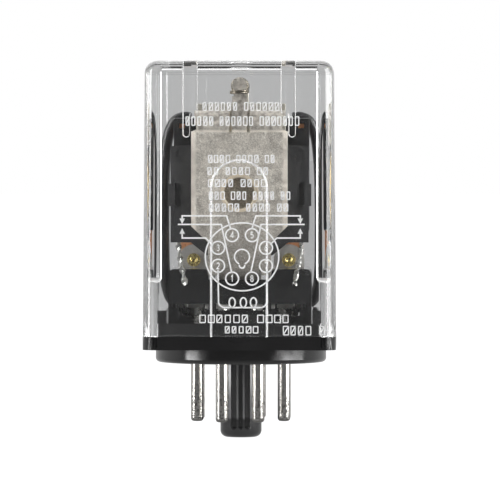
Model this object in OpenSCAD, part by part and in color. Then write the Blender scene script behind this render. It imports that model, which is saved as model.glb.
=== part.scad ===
// Plug-in control relay with an eight-pin octal base, clear snap-on cover,
// hinged armature and two changeover contacts.
// X is to the right, -Y is the front, +Z is up. The origin is on the axis of
// the locating post, in the plane that seats on the socket.
// The left half of every mirrored piece is the one described.

/* [Socket base] */
// Side of the square flange that carries the cover
flange_w = 35.5; // [35.5:0.1:36]
// Thickness of the flange
flange_h = 2.45; // [2.2:0.05:3]
// Diameter of the round disc below the flange
disc_d = 31.8; // [31:0.1:33]
// Thickness of the disc
disc_h = 2.75; // [2.3:0.05:3]
// Diameter of the locating post
post_d = 7.7; // [7.4:0.1:8]
// Length of the locating post
post_l = 14.05; // [12.5:0.05:15]

/* [Pins] */
// Pitch circle of the pins
pin_circle_d = 17.45; // [17.4:0.05:17.5]
// Diameter of a pin
pin_d = 2.36; // [2.3:0.02:2.4]
// Length of a pin below the seat
pin_l = 10.95; // [9:0.05:11.5]

/* [Cover] */
// Width of the cover at its open foot
cover_w = 35.4; // [35.2:0.1:35.5]
// How much narrower each side of the cover is at the roof
cover_draft = 0.33; // [0.1:0.01:0.4]
// Height of the cover's roof above the seat
cover_top = 55.85; // [55.7:0.05:58]
// Thickness of the side walls at the foot
cover_wall = 1.9; // [1.6:0.05:1.9]
// Thickness of the roof
cover_roof = 1.7; // [1.2:0.1:1.9]
// Radius of the roof's edges
cover_edge_r = 2.4; // [1.8:0.1:2.6]
// Width of the arched panel in the front wall
arch_w = 10.7; // [9:0.1:13]

/* [Magnet] */
// Width of the yoke's front plate
yoke_w = 17.7; // [17:0.1:17.8]
// Height of the coil's axis, for a deck 5 mm above the seat
coil_z = 31.3; // [31:0.1:31.6]
// Diameter of the iron core
core_d = 7; // [6.4:0.1:7]
// Outer diameter of the winding
coil_d = 16.4; // [13:0.1:17]

/* [Switching] */
// Angle that the armature swings through between its stops
swing = 3; // [2:0.1:3]
// Distance of the contacts from the middle plane
contact_x = 8.9; // [8.7:0.1:9]
// Height of the contacts, for a deck 5 mm above the seat
contact_z = 18.6; // [18.5:0.1:19]

/* [Hidden] */
$fn = 48;

left = -1;
right = 1;
fuse = 0.01;

deck_z = disc_h + flange_h;
// The pieces on the deck are described for a deck at this height, and lifted onto the real one
usual_deck = 5;
lift = deck_z - usual_deck;

// Heights and depths that several pieces share
floor_z = 7.4;
floor_w = 31.2;
cover_in = cover_w / 2 - cover_wall;
roof_z = cover_top - cover_roof;
pin_r = pin_d / 2;
shank_r = 1.36;
pin_top = 8.4;
strap_z = 9.9;
block_z = 10.8;
block_ledge_z = 14.2;
block_top = 17.2;
block_mid_top = 15.3;
block_back = 11.2;

yoke_t = 1.8;
yoke_y = -13.6;
yoke_top = 46.5;
yoke_bend_r = 3.5;
yoke_end = 2.6;
foot_w = 7.7;
foot_bend_r = 2.4;
screw_y = -7;

flange_front = -11.7;
flange_back = 2;
bobbin_t = 1.2;
bobbin_w = 25.4;
bobbin_low = 22.2;
bobbin_high = 40;

hinge_y = 2.65;
hinge_z = yoke_top;
arm_y = 2.7;
arm_t = 1.6;
arm_w = 16.6;
arm_low = 26;
arm_high = 47.8;
spring_z = 51;

carrier_y = arm_y + arm_t;
carrier_t = 2;
blade_y = carrier_y + carrier_t;
blade_t = 0.4;
blade_rivet_z = [33, 37];
head_t = 0.8;
strip_t = 0.8;
contact_r = 1.1;
no_y = 3.85;
nc_y = 9.85;

lead_r = 1.05;
coil_lead_r = 0.33;
// Route of the left insulated lead, from its blade down to pin 1
FLEX_ROUTE = [
    [-9.5, 8.4, 45.2], [-11.1, 8.5, 45.3], [-12.8, 8.5, 44.3], [-14, 8.5, 41], [-14.55, 8.6, 35],
    [-14.7, 8.9, 28], [-14.7, 9.7, 21], [-14.6, 10.8, 16.6], [-14.2, 12.4, 13], [-13.1, 13.3, 10.6],
    [-10.4, 13.3, 9.4], [-7, 13.2, 9.2], [-4.5, 12.6, 9.2], [-3.5, 11.2, 9.2], [-3.34, 9.45, 9.2]
];
// Route of the left coil lead, from the winding down to pin 2
COIL_ROUTE = [
    [-7.6, -9.9, 25.4], [-10.4, -9.9, 24.2], [-11.3, -9.9, 22.4], [-11.1, -9.6, 19.8], [-10.7, -9.3, 17.4],
    [-10.2, -9.1, 15], [-10.1, -9.1, 12.5], [-10.1, -9, 10.6], [-10.2, -7, 9.2], [-10.2, -3, 8.9],
    [-10, 1, 8.8], [-9.5, 2.6, 8.8]
];

// ---------------------------------------------------------------- helpers

module slab(a, b) { translate(a) cube(b - a); }

// A rectangle with round corners, centred
module round_rect(w, d, r) {
    square([w - 2 * r, d], center = true);
    square([w, d - 2 * r], center = true);
    for (x = [-1, 1], y = [-1, 1]) translate([x * (w / 2 - r), y * (d / 2 - r)]) circle(r);
}

// A flat outline in Y and Z, given a width along X
module along_x(x0, x1) { translate([x0, 0, 0]) rotate([90, 0, 90]) linear_extrude(x1 - x0) children(); }

// A flat outline in X and Z, given a depth along Y
module along_y(y0, y1) { translate([0, y1, 0]) rotate([90, 0, 0]) linear_extrude(y1 - y0) children(); }

// A round bar along Y
module rod_y(x, z, r, y0, y1) { translate([x, y1, z]) rotate([90, 0, 0]) cylinder(h = y1 - y0, r = r); }

module on_deck() { translate([0, 0, lift]) children(); }

module mirrored(s) {
    if (s < 0) children();
    else mirror([1, 0, 0]) children();
}

// Pieces of the armature are described with the magnet closed; this opens them
module opened() {
    translate([0, hinge_y, hinge_z]) rotate([swing, 0, 0]) translate([0, -hinge_y, -hinge_z]) children();
}

function unit(v) = v / norm(v);
function tangent(p, i) = unit(p[min(i + 1, len(p) - 1)] - p[max(i - 1, 0)]);
function catmull(a, b, c, d, t) =
    0.5 * (2 * b + (c - a) * t + (2 * a - 5 * b + 4 * c - d) * t * t + (3 * b - a - 3 * c + d) * t * t * t);
// A smooth line through the points of a route, with n steps between points
function smooth(p, n) = [
    for (i = [0:len(p) - 2], k = [0:n - 1])
        catmull(p[max(i - 1, 0)], p[i], p[i + 1], p[min(i + 2, len(p) - 1)], k / n),
    p[len(p) - 1]
];
// A normal at each point of a path, carried along it without twist
function normals(p, i, u) =
    i == len(p) ? [] : let (t = tangent(p, i), w = unit(u - (u * t) * t)) concat([w], normals(p, i + 1, w));

// A wire swept along a path
module wire(path, r, sides, up) {
    n = len(path);
    across = normals(path, 0, up);
    points = [
        for (i = [0:n - 1], k = [0:sides - 1])
            path[i] + r * (cos(360 * k / sides) * across[i]
                + sin(360 * k / sides) * cross(tangent(path, i), across[i]))
    ];
    walls = [
        for (i = [0:n - 2], k = [0:sides - 1])
            let (a = i * sides + k, b = i * sides + (k + 1) % sides) [a, a + sides, b + sides, b]
    ];
    ends = [[for (k = [0:sides - 1]) k], [for (k = [sides - 1:-1:0]) (n - 1) * sides + k]];
    polyhedron(points, concat(walls, ends));
}

// ---------------------------------------------------------------- base

// Place of a pin: numbered from the post's key, clockwise as seen from below
function pin_angle(n) = 90 + 22.5 + 45 * (n - 1);
function pin_x(n) = pin_circle_d / 2 * cos(pin_angle(n));
function pin_at(n) = [pin_x(n), pin_circle_d / 2 * sin(pin_angle(n))];

module disc() {
    edge = 0.8;
    rotate_extrude($fn = 96) {
        translate([0, edge]) square([disc_d / 2, disc_h - edge]);
        square([disc_d / 2 - edge, edge]);
        translate([disc_d / 2 - edge, edge]) circle(edge);
    }
}

module post() {
    end_r = 1.3;
    key_w = 1.7;
    key_out = 1.25;
    translate([0, 0, -post_l]) difference() {
        union() {
            rotate_extrude() {
                translate([0, end_r]) square([post_d / 2, post_l - end_r + fuse]);
                square([post_d / 2 - end_r, end_r]);
                intersection() {
                    translate([post_d / 2 - end_r, end_r]) circle(end_r);
                    square([post_d, post_l]);
                }
            }
            slab([-key_w / 2, 0, 1.6], [key_w / 2, post_d / 2 + key_out, post_l + fuse]);
        }
        post_grooves();
    }
}

// Three narrow channels side by side in the front of the post
module post_grooves() {
    stop = 1.9;
    for (x = [[-1.8, -0.75], [-0.4, 0.4], [0.75, 1.8]])
        slab([x[0], -post_d, stop], [x[1], -post_d / 2 + 1.3, post_l]);
}

module base_walls() {
    // Side walls beside the terminal block
    for (s = [left, right]) mirrored(s) slab([-floor_w / 2, -13, floor_z - fuse], [-13.4, 6, 9.7]);
    // Wedge in front of the pins
    difference() {
        along_x(-4.9, 4.9) polygon([[-14.3, floor_z - fuse], [-9.9, floor_z - fuse], [-9.9, 9.7], [-11.6, 9.7]]);
        for (s = [left, right]) mirrored(s)
            along_y(-15, -9) polygon([[-5, floor_z], [-5, 10], [-4.1, 10], [-4.9, floor_z]]);
    }
}

module base() {
    color("#19191b") difference() {
        union() {
            disc();
            translate([0, 0, disc_h - fuse]) linear_extrude(flange_h + fuse) round_rect(flange_w, flange_w, 2.8);
            translate([0, 0, deck_z - fuse]) linear_extrude(floor_z - usual_deck + fuse)
                round_rect(floor_w, floor_w, 1.2);
            post();
            on_deck() base_walls();
        }
        for (n = [1:8]) translate([pin_at(n)[0], pin_at(n)[1], -1]) cylinder(h = floor_z + 3, r = shank_r);
        // Curved thumb recess in the front of the flange
        rod_y(0, deck_z + 3.9, 5, -flange_w, -flange_w / 2 + 0.35);
    }
}

// ---------------------------------------------------------------- pins

// A pin filled with solder, with a rounded tip, a thicker shank in the base, a collar on the floor and a
// small cup for its lead
module pin(n) {
    tip_r = 0.6;
    neck_r = 1;
    cup_r = 0.7;
    cup_h = 0.6;
    floor_top = floor_z + lift;
    top = pin_top + lift;
    translate([pin_at(n)[0], pin_at(n)[1], 0]) color("#c9cbcc") rotate_extrude($fn = 40) difference() {
        union() {
            translate([0, tip_r - pin_l]) square([pin_r, pin_l - tip_r]);
            square([shank_r, floor_top]);
            square([neck_r, top]);
            translate([0, -pin_l]) square([pin_r - tip_r, tip_r]);
            intersection() {
                translate([pin_r - tip_r, tip_r - pin_l]) circle(tip_r);
                translate([0, -pin_l]) square([pin_r, pin_l]);
            }
            translate([0, floor_top]) square([1.6, 0.4]);
        }
        translate([0, top - cup_h]) square([cup_r, 2 * cup_h]);
    }
}

// Solder that joins each pin to its strap or lead
module pin_joints() {
    tops = [10.4, 9.4, strap_z, strap_z, strap_z, strap_z, 9.4, 10.4];
    color("#b9bcbd") for (n = [1:8]) translate([pin_at(n)[0], pin_at(n)[1], pin_top])
        cylinder(h = tops[n - 1] - pin_top, r = 1.34);
}

// ---------------------------------------------------------------- cover

module cover_outline() {
    top_w = cover_w / 2 - cover_draft;
    r = cover_edge_r;
    polygon([[-cover_w / 2, deck_z], [cover_w / 2, deck_z], [top_w, cover_top - r], [-top_w, cover_top - r]]);
    translate([-top_w + r, cover_top - r - fuse]) square([2 * (top_w - r), r + fuse]);
    for (x = [-1, 1]) translate([x * (top_w - r), cover_top - r]) circle(r);
}

module cover_body() {
    half = cover_w / 2;
    intersection() {
        translate([0, 0, deck_z]) linear_extrude(cover_top) round_rect(cover_w, cover_w, 2.6);
        along_y(-half, half) cover_outline();
        along_x(-half, half) cover_outline();
    }
}

// Square post inside each corner, with a round lower end
module corner_post() {
    w = 1.8;
    foot = 15.1;
    along_y(-cover_in - fuse, -cover_in + w) {
        translate([-cover_in - fuse, foot + w / 2]) square([w + fuse, roof_z - foot]);
        translate([-cover_in + w / 2, foot + w / 2]) circle(w / 2);
    }
}

// Fin beside the yoke: a narrow leg with a round end, wider towards the roof
module cover_fin() {
    along_y(-cover_in - fuse, -12.3) {
        translate([-10.4, 42.4]) square([1.4, roof_z - 42.3]);
        translate([-9.7, 42.4]) circle(0.7);
        translate([-10.4, 46.2]) square([2.8, roof_z - 46.1]);
    }
}

module cover() {
    arch_top = 37.8;
    color([0.86, 0.89, 0.9, 0.35]) {
        difference() {
            cover_body();
            translate([0, 0, deck_z - 1]) linear_extrude(roof_z - deck_z + 1)
                round_rect(2 * cover_in, 2 * cover_in, 1.2);
            // Arched panel, sunk into the inside of the front wall
            along_y(-cover_in - 0.35, 0) {
                translate([-arch_w / 2, deck_z - 1]) square([arch_w, arch_top - arch_w / 2 - deck_z + 1]);
                translate([0, arch_top - arch_w / 2]) circle(arch_w / 2);
            }
            // Moulding gate in the roof
            translate([0, 0, cover_top - 0.45]) cylinder(h = 1, r = 2.15);
        }
        for (s = [left, right]) mirrored(s) {
            corner_post();
            mirror([0, 1, 0]) corner_post();
            cover_fin();
        }
    }
}

// ---------------------------------------------------------------- terminal block

module block_half() {
    lead_x = -10.1;
    difference() {
        union() {
            slab([-13.2, -10, block_z], [-5.8 + fuse, block_back, block_ledge_z]);
            // Upper step, set back, with a round outer shoulder
            along_y(-8.4, block_back) {
                translate([-13.2, block_ledge_z - fuse]) square([7.4 + fuse, block_top - block_ledge_z - 1]);
                translate([-12.2, block_ledge_z]) square([6.4 + fuse, block_top - block_ledge_z]);
                translate([-12.2, block_top - 1]) circle(1);
            }
            slab([-5.8, -9, block_z], [fuse, block_back, block_mid_top]);
            slab([-5.8, -10, 9.7], [-4.3, -8.9, block_mid_top]);
            // Legs that stand on the base
            slab([-13.2, -9.9, floor_z], [-12.6, 9, block_z + fuse]);
            for (y = [[-9.9, -5.4], [5.4, 9]]) slab([-11.7, y[0], floor_z], [-11.2, y[1], block_z + fuse]);
            // Web between the front and the rear pins
            slab([-13.2, -1.2, floor_z], [fuse, 1, block_z + fuse]);
        }
        translate([lead_x, -9.1, block_z - 1]) cylinder(h = 5, r = 0.5);
        // Way through the web for the coil lead
        slab([lead_x - 0.8, -2, floor_z + 0.9], [lead_x + 0.7, 2, strap_z - 0.3]);
        no_terminal_body();
        nc_terminal_body();
    }
}

module terminal_block() {
    color("#151517") difference() {
        union() {
            for (s = [left, right]) mirrored(s) block_half();
            translate([0, 0, floor_z]) cylinder(h = 4, r = 2.2);
        }
        translate([0, screw_y, 12]) cylinder(h = 5, r = 1);
    }
}

// Normally open contact strip: round head, leg through the block, strap to pin 3
module no_terminal_body() {
    y0 = no_y;
    y1 = no_y + strip_t;
    at = pin_at(3);
    along_y(y0, y1) {
        translate([-contact_x, contact_z]) circle(2.9);
        translate([-contact_x - 2.9, 16]) square([5.8, contact_z - 16]);
        translate([-12, strap_z]) square([1.8, 7]);
    }
    slab([-12, at[1] - 1.25, strap_z], [-10.2, y1, strap_z + strip_t]);
    slab([-12, at[1] - 1.25, strap_z], [at[0] + 1.25, at[1] + 1.25, strap_z + strip_t]);
}

// Normally closed contact strip behind it, with a strap to pin 4
module nc_terminal_body() {
    y0 = nc_y;
    y1 = nc_y + strip_t;
    at = pin_at(4);
    along_y(y0, y1) {
        translate([-contact_x, contact_z]) circle(2.4);
        translate([-contact_x - 2.4, 15]) square([4.8, contact_z - 15]);
        translate([-8.4, 14.4]) square([3.4, 1.6]);
        translate([-6.4, strap_z]) square([1.4, 5]);
    }
    slab([-6.4, at[1] - 1.25, strap_z], [-5, y1, strap_z + strip_t]);
    slab([-6.4, at[1] - 1.25, strap_z], [at[0] + 1.25, at[1] + 1.25, strap_z + strip_t]);
}

module rivet_hole(y, t) { rod_y(-contact_x, contact_z, 0.6, y - 1, y + t + 1); }

module no_terminal(s) {
    color("#b4b3ad") mirrored(s) difference() {
        no_terminal_body();
        rivet_hole(no_y, strip_t);
    }
}

module nc_terminal(s) {
    color("#b4b3ad") mirrored(s) difference() {
        nc_terminal_body();
        rivet_hole(nc_y, strip_t);
    }
}

// A contact rivet: shank, flat head on one side and a dome on the other
module no_contact(s) {
    dome_r = 1.25;
    color("#c9a548") mirrored(s) {
        rod_y(-contact_x, contact_z, 0.6, no_y - 0.1, no_y + strip_t + 0.1);
        rod_y(-contact_x, contact_z, contact_r, no_y + strip_t, no_y + strip_t + head_t);
        intersection() {
            translate([-contact_x, no_y + 0.5, contact_z]) sphere(1.4);
            rod_y(-contact_x, contact_z, dome_r, no_y - 1, no_y);
        }
    }
}

module nc_contact(s) {
    color("#c9a548") mirrored(s) {
        rod_y(-contact_x, contact_z, 0.6, nc_y - 0.1, nc_y + strip_t + 0.1);
        rod_y(-contact_x, contact_z, contact_r, nc_y - head_t, nc_y);
        rod_y(-contact_x, contact_z, contact_r, nc_y + strip_t, nc_y + strip_t + 0.6);
    }
}

// ---------------------------------------------------------------- magnet

// Side view of the bent yoke strip, from the foot up and over to the hinge
module yoke_strip() {
    top_c = [yoke_y + yoke_bend_r, yoke_top - yoke_bend_r];
    foot_c = [yoke_y + foot_bend_r, block_mid_top + foot_bend_r];
    translate([yoke_y, foot_c[1]]) square([yoke_t, top_c[1] - foot_c[1]]);
    translate([top_c[0], yoke_top - yoke_t]) square([yoke_end - top_c[0], yoke_t]);
    translate([foot_c[0], block_mid_top]) square([-3 - foot_c[0], yoke_t]);
    intersection() {
        translate(top_c) difference() { circle(yoke_bend_r); circle(yoke_bend_r - yoke_t); }
        translate([yoke_y, top_c[1]]) square([yoke_bend_r, yoke_bend_r]);
    }
    intersection() {
        translate(foot_c) difference() { circle(foot_bend_r); circle(foot_bend_r - yoke_t); }
        translate([yoke_y, block_mid_top]) square([foot_bend_r, foot_bend_r]);
    }
}

// Front view: wide plate, sloping shoulders, narrow waist and the foot
module yoke_front() {
    w = yoke_w / 2;
    waist = 5.8;
    neck = arm_w / 2;
    bend_z = yoke_top - yoke_bend_r;
    for (s = [left, right]) outline_side(s) polygon([
        [0, block_mid_top - 1], [foot_w / 2, block_mid_top - 1], [foot_w / 2, 17.7], [waist, 17.7],
        [waist, 22.3], [w, 25.2], [w, bend_z - 0.4], [neck - 0.4, bend_z], [neck - 0.4, bend_z + 0.8],
        [neck, bend_z + 1.1], [neck, yoke_top + 1], [0, yoke_top + 1]
    ]);
}

// The same outline on the left or on the right
module outline_side(s) { mirror([s < 0 ? 1 : 0, 0]) children(); }

// Upright tongue with a neck and a round head that holds the return spring
module yoke_tongue() {
    w = 1.35;
    neck = 0.95;
    top = 52.55;
    along_y(yoke_y, yoke_y + yoke_t) {
        translate([-w, 42]) square([2 * w, 7.1]);
        translate([-neck, 49]) square([2 * neck, 1.8]);
        translate([-w, 50.6]) square([2 * w, top - w - 50.6]);
        translate([0, top - w]) circle(w);
    }
}

module yoke() {
    w = yoke_w / 2;
    color("#b3aa97") difference() {
        union() {
            difference() {
                intersection() {
                    along_x(-w, w) yoke_strip();
                    along_y(yoke_y, yoke_end) yoke_front();
                }
                // Slot that leaves the tongue upright
                slab([-1.9, yoke_y - 1, 42.4], [1.9, -9.5, yoke_top + 1]);
            }
            // Corners of the waist beside the bent foot
            for (s = [left, right]) mirrored(s)
                slab([-5.8, yoke_y, 16.2], [-foot_w / 2 - 0.15, yoke_y + yoke_t, 17.7 + fuse]);
            yoke_tongue();
        }
        rod_y(0, coil_z, core_d / 2, yoke_y - 1, yoke_y + yoke_t + 1);
        translate([0, screw_y, block_mid_top - 1]) cylinder(h = 4, r = 1.15);
    }
}

module yoke_screw() {
    head_z = block_mid_top + yoke_t;
    color("#c4c5c6") translate([0, screw_y, 0]) difference() {
        union() {
            translate([0, 0, 12.2]) cylinder(h = head_z - 12.2 + fuse, r = 1);
            translate([0, 0, head_z]) cylinder(h = 0.9, r = 2.2);
            translate([0, 0, head_z + 0.9]) cylinder(h = 0.5, r1 = 2.2, r2 = 1.5, $fn = 40);
        }
        slab([-3, -0.3, head_z + 0.7], [3, 0.3, head_z + 2]);
    }
}

// Half-moon outline of the shading ring in the pole face
module half_moon(r, cut) {
    intersection() {
        circle(r);
        translate([-r, cut]) square([2 * r, 2 * r]);
    }
}

module shading_outline() {
    difference() {
        half_moon(3.7, -0.6);
        half_moon(3, 0.1);
    }
}

module core() {
    pole_r = 4.6;
    pole_t = 1.6;
    proud = 0.35;
    dish_r = 2.85;
    color("#a79d8a") difference() {
        union() {
            rod_y(0, coil_z, core_d / 2, yoke_y - proud, yoke_end);
            rod_y(0, coil_z, pole_r, yoke_end - pole_t, yoke_end);
        }
        // Dished end where the core is riveted into the yoke
        rod_y(0, coil_z, dish_r, yoke_y - 1, yoke_y + 1.3);
        translate([0, 0, coil_z]) along_y(yoke_end - 0.7, yoke_end + 1) shading_outline();
    }
}

module shading_ring() {
    color("#b8683c") translate([0, 0, coil_z]) along_y(yoke_end - 0.7, yoke_end) shading_outline();
}

// ---------------------------------------------------------------- coil

module ring_y(r0, r1, y0, y1) {
    difference() {
        rod_y(0, coil_z, r1, y0, y1);
        rod_y(0, coil_z, r0, y0 - 1, y1 + 1);
    }
}

module bobbin() {
    barrel_r = 4.6;
    tab = [28.9, 33];
    low_w = 12;
    low_z = bobbin_low - 2.4;
    color("#1d1d1f") {
        difference() {
            union() {
                slab([-bobbin_w / 2, flange_front, bobbin_low], [bobbin_w / 2, flange_front + bobbin_t, bobbin_high]);
                // The front flange reaches lower in its middle
                along_y(flange_front, flange_front + bobbin_t) polygon([
                    [-low_w / 2 - 3, bobbin_low + fuse], [-low_w / 2, low_z],
                    [low_w / 2, low_z], [low_w / 2 + 3, bobbin_low + fuse]
                ]);
                slab([-10.5, flange_back - bobbin_t, bobbin_low], [10.5, flange_back, bobbin_high]);
                rod_y(0, coil_z, barrel_r, flange_front, flange_back);
                for (s = [left, right]) mirrored(s)
                    slab([-13.2, flange_front - 0.8, tab[0]], [-11.9, flange_front + bobbin_t, tab[1]]);
            }
            rod_y(0, coil_z, core_d / 2 + 0.05, flange_front - 1, flange_back + 1);
            rod_y(0, coil_z, 4.65, yoke_end - 1.65, flange_back + 1);
            for (s = [left, right]) mirrored(s) {
                slab([-11.9, flange_front - 1, tab[0] + 0.1], [-10.9, flange_front + 0.9, tab[1] + 0.2]);
                rod_y(-11.1, 38.4, 0.8, flange_front - 1, flange_front + 0.2);
            }
        }
    }
}

module coil_winding() {
    color("#8a4b2c") ring_y(4.6, coil_d / 2, flange_front + bobbin_t, flange_back - bobbin_t);
}

module coil_tape() {
    color("#c9b27a") ring_y(coil_d / 2, coil_d / 2 + 0.2, flange_front + bobbin_t, flange_back - bobbin_t);
}

module coil_lead(s) {
    color("#c2c3c2") mirrored(s) wire(smooth(COIL_ROUTE, 2), coil_lead_r, 8, [0, 1, 0]);
}

// ---------------------------------------------------------------- armature

module armature() {
    w = arm_w / 2;
    tab_w = 1.35;
    color("#aaa598") opened() difference() {
        along_y(arm_y, arm_y + arm_t) {
            polygon([[-w + 1.5, arm_low], [w - 1.5, arm_low], [w, arm_low + 1.5], [w, arm_high],
                [-w, arm_high], [-w, arm_low + 1.5]]);
            translate([-tab_w, arm_high - fuse]) square([2 * tab_w, spring_z + 0.1 - arm_high]);
            translate([0, spring_z + 0.05]) circle(tab_w);
        }
        rod_y(0, spring_z, 0.5, 0, 6);
        rod_y(0, coil_z, 0.6, 0, 6);
        for (x = [-5, 5]) rod_y(x, 38.5, 0.9, 0, 6);
    }
}

module residual_rivet() {
    color("#c9a548") opened() {
        rod_y(0, coil_z, 0.6, arm_y, carrier_y);
        rod_y(0, coil_z, 0.9, arm_y - 0.06, arm_y);
    }
}

module armature_rivets() {
    color("#b9b9b6") opened() for (x = [-5, 5]) {
        rod_y(x, 38.5, 0.9, arm_y, blade_y);
        rod_y(x, 38.5, 1.5, blade_y, blade_y + 0.6);
    }
}

module blade_carrier() {
    w = 12.7;
    low = 24;
    high = 45;
    barrier_top = 42.2;
    color("#1b1b1d") opened() difference() {
        union() {
            slab([-w, carrier_y, low], [w, blade_y, high]);
            // Barrier between the two blades
            slab([-0.6, blade_y - fuse, 21.5], [0.6, blade_y + 2.2, barrier_top]);
            slab([-3, carrier_y, 21.5], [3, blade_y, low + fuse]);
            for (x = [-w, w - 0.7]) slab([x, blade_y - fuse, low + 1], [x + 0.7, blade_y + 0.9, barrier_top]);
        }
        for (x = [-5, 5]) rod_y(x, 38.5, 0.9, 0, 9);
        for (x = [-9.5, 9.5], z = blade_rivet_z) rod_y(x, z, 0.7, 0, 9);
        // Windows that show the tops of the blades
        for (x = [-11.7, 10.6]) slab([x, 0, 43.1], [x + 1.1, 9, 44]);
        // Moulding pockets
        for (x = [-6, 1.4]) slab([x, blade_y - 0.8, 26], [x + 4.6, blade_y + 1, 35]);
    }
}

module blade_rivets() {
    color("#c9a548") opened() for (x = [-9.5, 9.5], z = blade_rivet_z) {
        rod_y(x, z, 0.7, carrier_y, blade_y + blade_t);
        rod_y(x, z, 1.15, blade_y + blade_t, blade_y + blade_t + 0.5);
    }
}

module moving_blade(s) {
    end_r = 1.4;
    end_z = 19;
    color("#bb6c3b") opened() mirrored(s) difference() {
        along_y(blade_y, blade_y + blade_t) {
            translate([-11.5, end_z]) square([4.5, 42 - end_z]);
            translate([-11.5 + end_r, end_z - end_r]) square([4.5 - 2 * end_r, end_r + fuse]);
            for (x = [-11.5 + end_r, -7 - end_r]) translate([x, end_z]) circle(end_r);
            translate([-11.9, 41.9]) square([2, 2.6]);
        }
        rod_y(-contact_x, contact_z, 0.6, blade_y - 1, blade_y + 1);
        for (z = blade_rivet_z) rod_y(-9.5, z, 0.7, blade_y - 1, blade_y + 1);
    }
}

module moving_contact(s) {
    color("#c3c0b6") opened() mirrored(s) {
        rod_y(-contact_x, contact_z, contact_r, blade_y - head_t, blade_y);
        rod_y(-contact_x, contact_z, 0.6, blade_y - 0.1, blade_y + blade_t + 0.1);
        rod_y(-contact_x, contact_z, contact_r, blade_y + blade_t, blade_y + blade_t + head_t);
    }
}

// ---------------------------------------------------------------- leads and spring

// Bare, tinned strands soldered to the top of a blade
module lead_end(s) {
    color("#b8683c") opened() mirrored(s)
        translate([-9.3, blade_y + blade_t + 0.6, 39.4]) cylinder(h = 4.5, r = 0.6);
}

module flex_lead(s) {
    color("#141416") mirrored(s) wire(smooth(FLEX_ROUTE, 2), lead_r, 8, [0, 1, 0]);
}

// Extension spring from the tongue's neck to the armature's tab
module return_spring() {
    wire_r = 0.17;
    loop_r = 1.65;
    coil_r = 1.47;
    turns = 15;
    y_start = -10.9;
    y_end = 1.2;
    loop = [
        for (a = [0:30:690])
            [loop_r * sin(a), yoke_y + yoke_t / 2 + loop_r * cos(a), 50.2 - 0.3 * a / 360]
    ];
    coils = [
        for (a = [0:36:360 * turns])
            [coil_r * sin(a), y_start + (y_end - y_start) * a / (360 * turns), spring_z - coil_r * cos(a)]
    ];
    hook = [[0, 1.6, 49.8], [0, 1.9, 50.6], [0, 2.4, 51.05], [0, 3.3, 51.1], [0, 4.2, 51.1], [0, 4.6, 51.5]];
    color("#9b9a94") wire(concat(loop, coils, hook), wire_r, 6, [0, 0, 1]);
}

base();
cover();
pin(1);  // pin_1
pin(2);  // pin_2
pin(3);  // pin_3
pin(4);  // pin_4
pin(5);  // pin_5
pin(6);  // pin_6
pin(7);  // pin_7
pin(8);  // pin_8
on_deck() pin_joints();
on_deck() terminal_block();
on_deck() yoke();
on_deck() yoke_screw();
on_deck() core();
on_deck() shading_ring();
on_deck() bobbin();
on_deck() coil_winding();
on_deck() coil_tape();
on_deck() coil_lead(left);  // coil_lead_left
on_deck() coil_lead(right);  // coil_lead_right
on_deck() armature();
on_deck() residual_rivet();
on_deck() armature_rivets();
on_deck() blade_carrier();
on_deck() blade_rivets();
on_deck() moving_blade(left);  // moving_blade_left
on_deck() moving_blade(right);  // moving_blade_right
on_deck() moving_contact(left);  // moving_contact_left
on_deck() moving_contact(right);  // moving_contact_right
on_deck() lead_end(left);  // lead_end_left
on_deck() lead_end(right);  // lead_end_right
on_deck() flex_lead(left);  // flex_lead_left
on_deck() flex_lead(right);  // flex_lead_right
on_deck() no_terminal(left);  // no_terminal_left
on_deck() no_terminal(right);  // no_terminal_right
on_deck() no_contact(left);  // no_contact_left
on_deck() no_contact(right);  // no_contact_right
on_deck() nc_terminal(left);  // nc_terminal_left
on_deck() nc_terminal(right);  // nc_terminal_right
on_deck() nc_contact(left);  // nc_contact_left
on_deck() nc_contact(right);  // nc_contact_right
on_deck() return_spring();
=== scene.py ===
"""Looks of the plug-in relay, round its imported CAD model.

Shapes are worked out in millimetres and made in metres.
"""

import math
import random

import bmesh
import bpy
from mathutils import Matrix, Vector


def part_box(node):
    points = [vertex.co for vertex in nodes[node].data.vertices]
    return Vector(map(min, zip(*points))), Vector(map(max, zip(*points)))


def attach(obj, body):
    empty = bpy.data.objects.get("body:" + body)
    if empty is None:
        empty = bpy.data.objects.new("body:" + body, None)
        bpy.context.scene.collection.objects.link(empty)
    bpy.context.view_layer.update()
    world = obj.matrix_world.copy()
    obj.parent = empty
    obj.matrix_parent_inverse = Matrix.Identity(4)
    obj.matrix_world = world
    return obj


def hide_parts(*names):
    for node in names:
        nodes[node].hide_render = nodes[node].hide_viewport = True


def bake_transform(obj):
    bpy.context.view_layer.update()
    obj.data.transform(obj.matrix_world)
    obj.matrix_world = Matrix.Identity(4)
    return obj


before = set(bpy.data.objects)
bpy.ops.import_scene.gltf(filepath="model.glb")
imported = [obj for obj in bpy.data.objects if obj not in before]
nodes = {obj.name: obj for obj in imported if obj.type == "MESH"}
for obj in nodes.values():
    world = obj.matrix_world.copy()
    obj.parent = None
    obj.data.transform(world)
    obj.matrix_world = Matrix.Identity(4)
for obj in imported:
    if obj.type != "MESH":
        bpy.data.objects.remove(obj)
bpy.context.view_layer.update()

MM = 0.001
BODY = "relay_body"
SIDES = {"left": -1, "right": 1}


def span(node):
    """Lowest and highest corner of a CAD node, in millimetres."""
    lo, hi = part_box(node)
    return lo / MM, hi / MM


def middle(node):
    """Middle of a CAD node's box, in millimetres."""
    lo, hi = span(node)
    return (lo + hi) / 2


COVER_LO, COVER_HI = span("cover")
YOKE_LO, YOKE_HI = span("yoke")
POST_TIP = span("base")[0].z
PIN_TIP = span("pin_1")[0].z
BEND_Z = YOKE_HI.z - 9.9

# ---------------------------------------------------------------- shapes


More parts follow.
